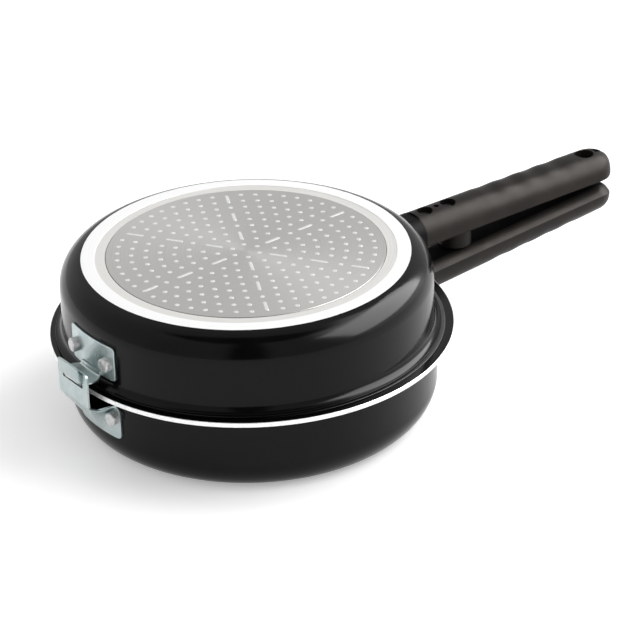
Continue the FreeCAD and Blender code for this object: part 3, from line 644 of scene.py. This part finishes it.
# Bores and holes of the grips. Screws, pin and magnet are placed from the pan's axis, the hang
# holes back from the grip's end
SCREW_PLACES = (148.6 * MM, 168.9 * MM)
SCREW_BORE = 5.6 * MM
SCREW_SEAT = 17.5 * MM
PIN_PLACE = 158.8 * MM
PIN_HOLE = 2.0 * MM
HANG_NEAR = 27.0 * MM
HANG_FAR = 12.9 * MM
HANG_HALF = 6.4 * MM
HANG_BAR = 1.6 * MM
HANG_TIP = 4.6 * MM
HANG_TIP_HALF = 2.8 * MM
MAGNET_PLACE = 175.5 * MM
CUP_BORE = 11.35 * MM
CUP_SEAT = 6.05 * MM
KEEPER_BORE = 5.05 * MM
KEEPER_SINK = 0.5 * MM
KEEPER_SEAT = 2.05 * MM
GRIP_EDGE = 0.35 * MM


def station_share(share, column):
    """A share from the stations, eased so that no corner shows where they meet."""
    first, bend, last = GRIP_STATION_SHARES
    rise_before = (bend[column] - first[column]) / (bend[0] - first[0])
    rise_after = (last[column] - bend[column]) / (last[0] - bend[0])
    away = share - bend[0]
    if away < -STATION_BLEND:
        return bend[column] + rise_before * away
    if away > STATION_BLEND:
        return bend[column] + rise_after * away
    turn = (rise_after - rise_before) * (away + STATION_BLEND) ** 2 / (4 * STATION_BLEND)
    return bend[column] + rise_before * away + turn


def edge_height(pan, place):
    """Height of a grip's widest edge, as drawn before the upper pan is turned over."""
    near, far = EDGE_NEAR[pan], EDGE_FAR[pan]
    rise = near + (far - near) * (place - GRIP_START) / (GRIP_END[pan] - GRIP_START)
    return RIM + rise if pan == "lower" else CLOSED - RIM - rise


def joint_height(pan, place):
    """Height of the flat that faces the other grip."""
    return edge_height(pan, place) + GRIP_CROWN


def grip_section(pan, place, across=1.0, deep=1.0):
    """Points round one section of a grip, as (across, height)."""
    reach = GRIP_END[pan] - NOSE_LENGTH - GRIP_START
    share = (place - GRIP_START) / reach
    half = GRIP_HALF * station_share(share, 1) * across
    belly = GRIP_BELLY * station_share(share, 2)
    middle = edge_height(pan, place) - belly * NOSE_MIDDLE_SHARE
    edge = middle + belly * NOSE_MIDDLE_SHARE * deep
    inner = INNER_FLAT_HALF * across
    wave = 0.0
    for number in range(WAVES):
        away = abs(place - WAVE_FIRST - WAVE_PITCH * number) / WAVE_REACH
        if away < 1:
            wave = WAVE_DEPTH * (0.5 + 0.5 * math.cos(math.pi * away))
    right = []
    for step in range(BELLY_STEPS + 1):
        turn = math.pi / 2 * (step / BELLY_STEPS)
        side = math.sin(turn) ** (2 / BELLY_SQUARENESS)
        drop = math.cos(turn) ** (2 / BELLY_SQUARENESS)
        right.append((half * side, edge - (belly * deep - wave) * drop))
    fall = GRIP_CROWN * deep
    spread = half - inner
    radius = (fall * fall + spread * spread) / (2 * min(fall, spread))
    right += arc_through((half, edge), (inner, edge + fall), radius, 1, CROWN_STEPS)[1:]
    left = [(-x, height) for x, height in reversed(right[1:])]
    return right + left


def make_grip(pan):
    """The handle: a loft up to where its nose begins, then a nose that closes in a quarter turn."""
    bulb = GRIP_END[pan] - NOSE_LENGTH
    rings = []
    for step in range(GRIP_STEPS + 1):
        place = GRIP_START + (bulb - GRIP_START) * step / GRIP_STEPS
        rings.append([(place, x, height) for x, height in grip_section(pan, place)])
    for step in range(1, NOSE_STEPS + 1):
        turn = NOSE_TURN * step / NOSE_STEPS
        deep = (1 - math.sin(turn) ** NOSE_BLUNTNESS) ** (1 / NOSE_BLUNTNESS)
        place = bulb + NOSE_LENGTH * math.sin(turn)
        rings.append([(place, x, height) for x, height in grip_section(pan, bulb, math.cos(turn), deep)])
    steps = GRIP_STEPS + NOSE_STEPS
    count = len(rings[0])
    vertices = [point for ring in rings for point in ring]
    faces = []
    paints = []
    for step in range(steps):
        for number in range(count):
            after = (number + 1) % count
            faces.append((step * count + number, step * count + after, (step + 1) * count + after,
                          (step + 1) * count + number))
            # Faces towards the other grip, away from the nose, get painted shade for the gap between the
            # grips: first the half shade, then the darker one
            depth = min(number, count - 1 - number) - SHADED_FACE_FIRST
            outside = depth < 0 or step > steps - NOSE_STEPS // 2
            paints.append(0 if outside else 1 if depth < HALF_SHADE_FACES else 2)
    faces.append(tuple(range(count)))
    faces.append(tuple(steps * count + number for number in reversed(range(count))))
    paints += [0, 0]
    piece = make_piece(pan + "_handle", vertices, faces, ["bakelite", "half_shade", "inside"], paints, None,
                       PLACE[pan], 28)
    cut_holes(piece, pan)
    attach(piece, pan + "_pan")
    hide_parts(pan + "_grip")


def prism(points, low, high):
    """Upright prism over an outline, as (vertices, faces)."""
    count = len(points)
    vertices = [(x, y, low) for x, y in points] + [(x, y, high) for x, y in points]
    faces = [tuple(reversed(range(count))), tuple(range(count, 2 * count))]
    for number in range(count):
        after = (number + 1) % count
        faces.append((number, after, count + after, count + number))
    return vertices, faces


def circle(x, radius, steps=48):
    return [(x + radius * math.cos(2 * math.pi * n / steps), radius * math.sin(2 * math.pi * n / steps))
            for n in range(steps)]


def stadium(near, far, half):
    points = bow((far - half, 0), half, -90, 90, 16)
    return points + bow((near + half, 0), half, 90, 270, 16)


def cut_holes(piece, pan):
    """Screw bores, the small pin hole and the two hang holes, cut through the finished handle."""
    joint = joint_height(pan, GRIP_START)
    below = joint - GRIP_BELLY * 2
    above = joint + GRIP_BELLY * 2
    seat = joint - SCREW_SEAT
    end = GRIP_END[pan]
    tip = HANG_TIP_HALF
    far = end - HANG_FAR
    base = far + HANG_BAR
    crown = end - HANG_TIP - tip
    hang_tip = [(base, -tip)] + bow((crown, 0), tip, -90, 90, 16) + [(base, tip)]
    cutters = [prism(circle(place, SCREW_BORE), below, seat) for place in SCREW_PLACES]
    cutters += [
        prism(circle(PIN_PLACE, PIN_HOLE), below, seat),
        prism(stadium(end - HANG_NEAR, far, HANG_HALF), below, above),
        prism(hang_tip, below, above),
    ]
    if pan == "upper":
        cutters.append(prism(circle(MAGNET_PLACE, CUP_BORE, 96), joint - CUP_SEAT, above))
    else:
        keeper = MAGNET_PLACE - UPPER_SHIFT
        top = joint_height("lower", keeper) - KEEPER_SINK
        cutters.append(prism(circle(keeper, KEEPER_BORE), top - KEEPER_SEAT, above))
    tools = [add_mesh("cutter_%d" % number, *cutter) for number, cutter in enumerate(cutters)]
    for tool in tools:
        tool.data.transform(PLACE[pan])
    cut_and_ease(piece, tools, GRIP_EDGE)


# Hinge of pressed sheet

SHEET = 1.2 * MM
WING_OUTSIDE = WALL_RADIUS + FIT + SHEET
WING_EDGE = 0.25 * MM
LOWER_WING = {"half": 22.4 * MM, "foot": RIM - 34.6 * MM, "head": RIM - 12.0 * MM, "round": 3.6 * MM}
UPPER_WING = {"half": 23.7 * MM, "foot": RIM + 8.5 * MM, "head": RIM + 32.0 * MM, "round": 2.6 * MM}
POST_FACE = 138.6 * MM
POST_HALF = 16.4 * MM
POST_BEND = RIM - 7.5 * MM
POST_TOP = RIM + 15.9 * MM
POST_ROUND = 3.0 * MM
# Where the lower wings swell out to the post, as (height, half width) up to the bend: how far
# they stand at the post's face, and where they are back on the wall
SWELL_FLAT = [(LOWER_WING["foot"], 0.5 * MM), (LOWER_WING["head"] - 8 * MM, 6.8 * MM),
              (LOWER_WING["head"], 14.9 * MM), (POST_BEND, POST_HALF)]
SWELL_SKIRT = [(LOWER_WING["foot"], 8.0 * MM), (LOWER_WING["head"] - 8 * MM, 13.0 * MM),
               (LOWER_WING["head"], 18.2 * MM), (POST_BEND, POST_HALF * 1.3)]
WINDOW_HALF = 11.4 * MM
WINDOW_FOOT = RIM + 4.3 * MM
WINDOW_HEAD = RIM + 14.0 * MM
WINDOW_ROUND = 1.5 * MM
TONGUE_TOP = RIM + 7.6 * MM
TONGUE_BEND = 2.6 * MM
TONGUE_SUNK = 0.5 * MM
# Places along the tongue, from its start on the wing to the hook's bend
TONGUE_SHARES = (0.24, 0.3, 0.36, 0.43, 0.5, 0.57, 0.64, 0.7, 0.76, 0.8, 0.84, 0.88, 0.91)
# Half widths of the ribbon at distances from the wing
TONGUE_HALVES = [(0.0, 10.2 * MM), (1.5 * MM, 11.4 * MM), (3.2 * MM, 12.8 * MM), (4.8 * MM, 13.7 * MM),
                 (7.0 * MM, 14.2 * MM), (9.5 * MM, 14.3 * MM), (11.2 * MM, 13.8 * MM),
                 (12.0 * MM, 12.6 * MM), (12.6 * MM, 10.9 * MM), (14.0 * MM, 10.7 * MM)]
HOOK_FACE = POST_FACE + 1.6 * MM
HOOK_BEND = 1.2 * MM
HOOK_TOP = RIM + 19.5 * MM
HOOK_LEAN = 2.2 * MM
HOOK_ROUND = 1.5 * MM
# The hook's upright: share of its lean, distance below its top
HOOK_RISE = [(0.8, 2.5 * MM), (0.93, 0.8 * MM), (1.0, 0.0)]


def smooth(share):
    """Ease from 0 to 1."""
    share = min(max(share, 0.0), 1.0)
    return share * share * (3 - 2 * share)


def between(value, places):
    """A value read off a line through (place, value) pairs."""
    for (before, low), (after, high) in zip(places, places[1:]):
        if value <= after:
            break
    share = min(max((value - before) / (after - before), 0.0), 1.0)
    return low + (high - low) * share


def corner_cut(distance, radius):
    """How much a rounded corner takes off a half width at this distance from the end."""
    if distance >= radius:
        return 0.0
    away = radius - max(distance, 0.0)
    return radius - math.sqrt(max(radius * radius - away * away, 0.0))


def spaced(start, end, count, close=()):
    """Even steps with extra ones near the given places, for rounded corners and bends."""
    places = {start + (end - start) * number / count for number in range(count + 1)}
    for middle, reach in close:
        for number in range(-6, 7):
            place = middle + reach * number / 6
            if min(start, end) < place < max(start, end):
                places.add(place)
    return sorted(places)


def pressed_sheet(name, body, rows, columns, point, replaced, cutter=None, edge=0.0):
    """A sheet of even thickness. The grid of its outer face is point(row, across), across from -1 to 1."""
    wide = columns + 1
    outer = [[Vector(point(row, number / columns * 2 - 1)) for number in range(wide)] for row in rows]
    inner = []
    for row in range(len(rows)):
        line = []
        for number in range(wide):
            along = outer[row][min(number + 1, columns)] - outer[row][max(number - 1, 0)]
            rise = outer[min(row + 1, len(rows) - 1)][number] - outer[max(row - 1, 0)][number]
            face = along.cross(rise).normalized()
            line.append(outer[row][number] + face * SHEET)
        inner.append(line)
    vertices = [spot for line in outer for spot in line] + [spot for line in inner for spot in line]
    back = len(rows) * wide
    faces = []
    for row in range(len(rows) - 1):
        for number in range(columns):
            corner = row * wide + number
            faces.append((corner + wide, corner + 1 + wide, corner + 1, corner))
            faces.append((back + corner, back + corner + 1, back + corner + 1 + wide, back + corner + wide))
    border = list(range(wide))
    border += [row * wide + columns for row in range(1, len(rows))]
    border += [(len(rows) - 1) * wide + number for number in range(columns - 1, -1, -1)]
    border += [row * wide for row in range(len(rows) - 2, 0, -1)]
    for number, corner in enumerate(border):
        after = border[(number + 1) % len(border)]
        faces.append((after, back + after, back + corner, corner))
    piece = add_mesh(name, vertices, faces)
    piece.data.materials.append(PAINTS["zinc"])
    cut_and_ease(piece, [add_mesh(name + "_cutter", *cutter)] if cutter else [], edge)
    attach(piece, body + "_pan")
    if replaced:
        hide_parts(replaced)


def wing_half(wing, height):
    """Half width of a wing at this height."""
    low = corner_cut(height - wing["foot"], wing["round"])
    high = corner_cut(wing["head"] - height, wing["round"])
    return wing["half"] - low - high


def make_post():
    """Lower half of the hinge: wings on the wall that swell out into the post with its window."""
    foot = LOWER_WING["foot"]
    head = LOWER_WING["head"]

    def half(height):
        if height <= head:
            return wing_half(LOWER_WING, height)
        return POST_HALF - corner_cut(POST_TOP - height, POST_ROUND)

    def point(height, across):
        side = across * half(height)
        wall = math.sqrt(WING_OUTSIDE ** 2 - side ** 2)
        if height >= POST_BEND:
            return (-POST_FACE, side, height)
        rise = (height - foot) / (POST_BEND - foot)
        flat = between(height, SWELL_FLAT)
        skirt = between(height, SWELL_SKIRT)
        swell = rise * (1 - smooth((abs(side) - flat) / (skirt - flat)))
        return (-wall - (POST_FACE - wall) * swell, side, height)

    corner = LOWER_WING["round"]
    rows = spaced(foot, POST_TOP, 60, [(foot, corner), (head, corner), (head, 0.2 * MM),
                                       (POST_BEND, 1.5 * MM), (POST_TOP, POST_ROUND)])
    window = rounded_box(WINDOW_HALF, WINDOW_FOOT, WINDOW_HEAD, WINDOW_ROUND)
    upright, faces = prism(window, -POST_FACE * 1.1, -POST_FACE * 0.9)
    vertices = [(out, across, height) for across, height, out in upright]
    pressed_sheet("hinge_post", "lower", rows, 72, point, "lower_hinge_bracket", (vertices, faces))


def rounded_box(half, low, high, radius):
    """A rectangle with rounded corners, as (across, height) points."""
    points = bow((half - radius, low + radius), radius, -90, 0, 5)
    points += bow((half - radius, high - radius), radius, 0, 90, 5)
    points += bow((-half + radius, high - radius), radius, 90, 180, 5)
    return points + bow((-half + radius, low + radius), radius, 180, 270, 5)


def make_hook():
    """Upper half of the hinge: wings on the wall, then a tongue through the window and up."""
    wall_centre = -UPPER_SHIFT

    def wing_point(height, across):
        side = across * wing_half(UPPER_WING, height)
        return (wall_centre - math.sqrt(WING_OUTSIDE ** 2 - side ** 2), side, height)

    rows = spaced(UPPER_WING["foot"], UPPER_WING["head"], 24,
                  [(UPPER_WING["foot"], UPPER_WING["round"]), (UPPER_WING["head"], UPPER_WING["round"])])
    pressed_sheet("hinge_hook_wings", "upper", rows, 48, wing_point, None, edge=WING_EDGE)

    # The ribbon's outer face as (distance from the axis, height), from the wing to the hook's end
    start = UPPER_SHIFT + WING_OUTSIDE + FIT
    bend_end = TONGUE_TOP + TONGUE_BEND
    path = [(start - TONGUE_SUNK, bend_end + 0.9 * MM), (start, bend_end + 0.1 * MM)]
    path += bow((start + TONGUE_BEND, bend_end), TONGUE_BEND, 180, 270, 8)
    turn = HOOK_FACE - HOOK_BEND
    path += [(start + (turn - start) * share, TONGUE_TOP) for share in TONGUE_SHARES]
    path += bow((turn, TONGUE_TOP + HOOK_BEND), HOOK_BEND, -90, -8, 6)
    path.append((HOOK_FACE + HOOK_LEAN * 0.5, (TONGUE_TOP + HOOK_TOP) / 2))
    path += [(HOOK_FACE + HOOK_LEAN * share, HOOK_TOP - down) for share, down in HOOK_RISE]

    def ribbon_point(place, across):
        distance, height = place
        out = distance - start
        side = across * (between(out, TONGUE_HALVES) - corner_cut(HOOK_TOP - height, HOOK_ROUND))
        arc = WING_OUTSIDE - math.sqrt(WING_OUTSIDE ** 2 - side ** 2)
        return (-distance + arc * (1 - smooth(out / (turn - start))), side, height)

    pressed_sheet("hinge_hook", "upper", path, 40, ribbon_point, "upper_hinge_hook")


RIVET_HEAD_RADIUS = 4.6 * MM
RIVET_HEAD_HEIGHT = 4.2 * MM
RIVET_EDGE = 1.1 * MM
RIVET_CROWN = 0.15 * MM
RIVET_SHANK = 2.5 * MM
# The head inside the pan: radius, distance from the wall
RIVET_DOME = [(0, 1.4 * MM), (3.0 * MM, 1.12 * MM), (4.2 * MM, 0.56 * MM), (4.4 * MM, 0)]
# Distance from the middle along the wall, height
HINGE_RIVETS = {"lower": (16.5 * MM, RIM - 20.2 * MM), "upper": (16.9 * MM, RIM + 19.3 * MM)}


def make_rivets():
    """Rivets of the hinge: a thick button outside and a low dome inside the pan."""
    outside = WALL_RADIUS + SHEET
    inside = WALL_RADIUS - WALL
    tip = outside + RIVET_HEAD_HEIGHT
    profile = [(radius, inside - rise) for radius, rise in RIVET_DOME]
    profile += [(RIVET_SHANK, inside), (RIVET_SHANK, outside), (RIVET_HEAD_RADIUS, outside)]
    profile += bow((RIVET_HEAD_RADIUS - RIVET_EDGE, tip - RIVET_EDGE), RIVET_EDGE, 5, 82, 5)
    profile.append((0, tip + RIVET_CROWN))
    vertices, faces, _ = lathe(profile, closed=False, steps=56)
    for pan, (across, height) in HINGE_RIVETS.items():
        centre = 0 if pan == "lower" else -UPPER_SHIFT
        for side, sign in (("left", 1), ("right", -1)):
            turn = math.pi - sign * across / WALL_RADIUS
            place = Matrix.Translation((centre, 0, height)) @ Matrix.Rotation(turn, 4, "Z")
            place = place @ Matrix.Rotation(math.pi / 2, 4, "Y")
            piece = make_piece("%s_rivet_%s" % (pan, side), vertices, faces, ["rivet"], None, pan, place)
            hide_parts("%s_hinge_rivet_%s" % (pan, side))


# Pieces that keep their shape from the CAD

KEPT = {
    "zinc": ["lower_handle_bracket", "upper_handle_bracket"],
    "guard": ["lower_flame_guard", "upper_flame_guard"],
    "bakelite": ["upper_magnet_cup"],
    "magnet": ["upper_magnet"],
    "steel": ["lower_keeper"],
    "rivet": [name for name in nodes if "_handle_rivet_" in name],
    "screw": [name for name in nodes if "_screw_" in name],
}


def dress_kept():
    """Materials for the CAD's own meshes, and eased edges for the brackets."""
    for paint, names in KEPT.items():
        for name in names:
            node = nodes[name]
            node.data.materials.clear()
            node.data.materials.append(PAINTS[paint])
            if paint == "zinc":
                ease_edges(node, 0.22 * MM, 40)


# Camera, lamp, floor and studio

STUDIO_TURN = math.radians(-125.4)
WALL_STRENGTH = 0.75
LEFT_WALL_STRENGTH = 0.25 * WALL_STRENGTH
BOX_STRENGTH = 4.0
BOX_LOW_STRENGTH = 0.25 * BOX_STRENGTH
DARKNESS = 0.9
# Angles in degrees: where a form opens, is open, begins to close and is closed
BOX_SPAN = (46, 80, 128, 141)
LEFT_SPAN = (-165, -140, -75, -50)
FRONT_SPAN = (-110, -80, 80, 110)
GAP_SPAN = (-16, -10, 8, 14)
CEILING = (60, 64)
BOX_RISE = (-2, 42)
GAP_RISE = (-2, 2)
CARD_POWER = 60
CARD_TURN = STUDIO_TURN + math.radians(95)
CARD_DISTANCE = 1.25
CARD_HEIGHT = 0.95
CARD_SIZE = (2.0, 1.1)
CARD_TARGET = (0, 0, 0.1)
FLOOR_REACH = 6.0
FLOOR_LIFT = 0.3


def aim_camera():
    """The camera found from the ellipses of the rims, the foot and the base plate in the photo."""
    image_width = 640
    focal_pixels = 2625.65
    azimuth = math.radians(37.1)
    elevation = math.radians(28.448)
    roll = math.radians(-1.3412)
    position = Vector((-871.69, -1225.80, 871.62)) * MM
    forward = Vector((math.sin(azimuth) * math.cos(elevation), math.cos(azimuth) * math.cos(elevation),
                      -math.sin(elevation)))
    right = Vector((math.cos(azimuth), -math.sin(azimuth), 0))
    up = right.cross(forward)
    right_rolled = right * math.cos(roll) + up * math.sin(roll)
    up_rolled = up * math.cos(roll) - right * math.sin(roll)
    data = bpy.data.cameras.new("camera")
    data.sensor_width = 36.0
    data.lens = focal_pixels / image_width * data.sensor_width
    data.clip_end = 20.0
    camera = add_object("camera", data)
    turn = Matrix((right_rolled, up_rolled, -forward)).transposed().to_4x4()
    camera.matrix_world = Matrix.Translation(position) @ turn
    scene.camera = camera


def add_card():
    """A pale card that only shines in the gloss of the pans."""
    data = bpy.data.lights.new("glossy_card", "AREA")
    data.shape = "RECTANGLE"
    data.size, data.size_y = CARD_SIZE
    data.energy = CARD_POWER
    card = add_object("glossy_card", data)
    place = Vector((CARD_DISTANCE * math.cos(CARD_TURN), CARD_DISTANCE * math.sin(CARD_TURN), CARD_HEIGHT))
    card.location = place
    card.rotation_euler = (Vector(CARD_TARGET) - place).to_track_quat("-Z", "Y").to_euler()
    card.visible_diffuse = False


def make_floor():
    """A white floor that looks a little paler than its light makes it."""
    size = FLOOR_REACH
    corners = [(-size, -size, 0), (size, -size, 0), (size, size, 0), (-size, size, 0)]
    floor = add_mesh("floor", corners, [(0, 1, 2, 3)])
    material = bpy.data.materials.new("floor_white")
    material.use_nodes = True
    tree = material.node_tree
    shader = tree.nodes["Principled BSDF"]
    shader.inputs["Base Color"].default_value = (0.95, 0.95, 0.95, 1)
    shader.inputs["Roughness"].default_value = 0.6
    shader.inputs["Specular IOR Level"].default_value = 0.2
    lift = tree.nodes.new("ShaderNodeEmission")
    lift.inputs["Color"].default_value = (1, 1, 1, 1)
    path = tree.nodes.new("ShaderNodeLightPath")
    seen = path.outputs["Is Camera Ray"]
    for ray in ("Is Glossy Ray", "Is Transmission Ray"):
        either = tree.nodes.new("ShaderNodeMath")
        either.operation = "MAXIMUM"
        tree.links.new(seen, either.inputs[0])
        tree.links.new(path.outputs[ray], either.inputs[1])
        seen = either.outputs["Value"]
    strength = tree.nodes.new("ShaderNodeMath")
    strength.operation = "MULTIPLY"
    strength.inputs[1].default_value = FLOOR_LIFT
    tree.links.new(seen, strength.inputs[0])
    tree.links.new(strength.outputs["Value"], lift.inputs["Strength"])
    both = tree.nodes.new("ShaderNodeAddShader")
    tree.links.new(shader.outputs["BSDF"], both.inputs[0])
    tree.links.new(lift.outputs["Emission"], both.inputs[1])
    tree.links.new(both.outputs["Shader"], tree.nodes["Material Output"].inputs["Surface"])
    floor.data.materials.append(material)


def make_world():
    """A studio dome: pale walls, a large soft box to the right, a brighter wall to the left, a dark
    ceiling over the front and a dark gap ahead."""
    world = bpy.data.worlds.new("studio")
    scene.world = world
    world.use_nodes = True
    tree = world.node_tree
    background = tree.nodes["Background"]
    background.inputs["Color"].default_value = (1, 1, 1, 1)
    place = tree.nodes.new("ShaderNodeTexCoord")
    turned = tree.nodes.new("ShaderNodeVectorRotate")
    turned.rotation_type = "Z_AXIS"
    turned.inputs["Angle"].default_value = -STUDIO_TURN
    tree.links.new(place.outputs["Generated"], turned.inputs["Vector"])
    split = tree.nodes.new("ShaderNodeSeparateXYZ")
    tree.links.new(turned.outputs["Vector"], split.inputs[0])

    def math_node(operation, first, second=None):
        made = tree.nodes.new("ShaderNodeMath")
        made.operation = operation
        for number, value in enumerate((first, second)):
            if isinstance(value, (int, float)):
                made.inputs[number].default_value = value
            elif value is not None:
                tree.links.new(value, made.inputs[number])
        return made.outputs[0]

    azimuth = math_node("ARCTAN2", split.outputs["Y"], split.outputs["X"])
    elevation = math_node("ARCSINE", split.outputs["Z"])

    def step_up(source, start, end, low=0.0, high=1.0, kind="SMOOTHSTEP"):
        """Rise from low to high between two angles in degrees."""
        made = tree.nodes.new("ShaderNodeMapRange")
        made.interpolation_type = kind
        made.inputs["From Min"].default_value = math.radians(start)
        made.inputs["From Max"].default_value = math.radians(end)
        made.inputs["To Min"].default_value = low
        made.inputs["To Max"].default_value = high
        tree.links.new(source, made.inputs["Value"])
        return made.outputs["Result"]

    def span(start, opened, closing, end):
        """1 between two azimuths, eased at both sides."""
        closed = step_up(azimuth, closing, end, 1.0, 0.0)
        return math_node("MULTIPLY", step_up(azimuth, start, opened), closed)

    below_ceiling = step_up(elevation, *CEILING, 1.0, 0.0)
    box = math_node("MULTIPLY", span(*BOX_SPAN), below_ceiling)
    box = math_node("MULTIPLY", box, step_up(elevation, *BOX_RISE, BOX_LOW_STRENGTH, BOX_STRENGTH, "LINEAR"))
    left_wall = math_node("MULTIPLY", span(*LEFT_SPAN), LEFT_WALL_STRENGTH)
    left_wall = math_node("MULTIPLY", left_wall, below_ceiling)
    dark_ceiling = math_node("MULTIPLY", span(*FRONT_SPAN), step_up(elevation, *CEILING))
    gap = math_node("MULTIPLY", span(*GAP_SPAN), step_up(elevation, *GAP_RISE))
    dark = math_node("MULTIPLY", math_node("MAXIMUM", dark_ceiling, gap), DARKNESS)
    walls = math_node("MULTIPLY", math_node("SUBTRACT", 1.0, dark), WALL_STRENGTH)
    total = math_node("ADD", math_node("ADD", walls, left_wall), box)
    tree.links.new(total, background.inputs["Strength"])


for pan_name in PLACE:
    make_shell(pan_name)
make_seal()
for pan_name in PLACE:
    make_plate(pan_name)
    make_studs(pan_name)
    make_grip(pan_name)
make_post()
make_hook()
make_rivets()
dress_kept()
aim_camera()
make_floor()
make_world()
add_card()
scene.view_settings.view_transform = "Standard"
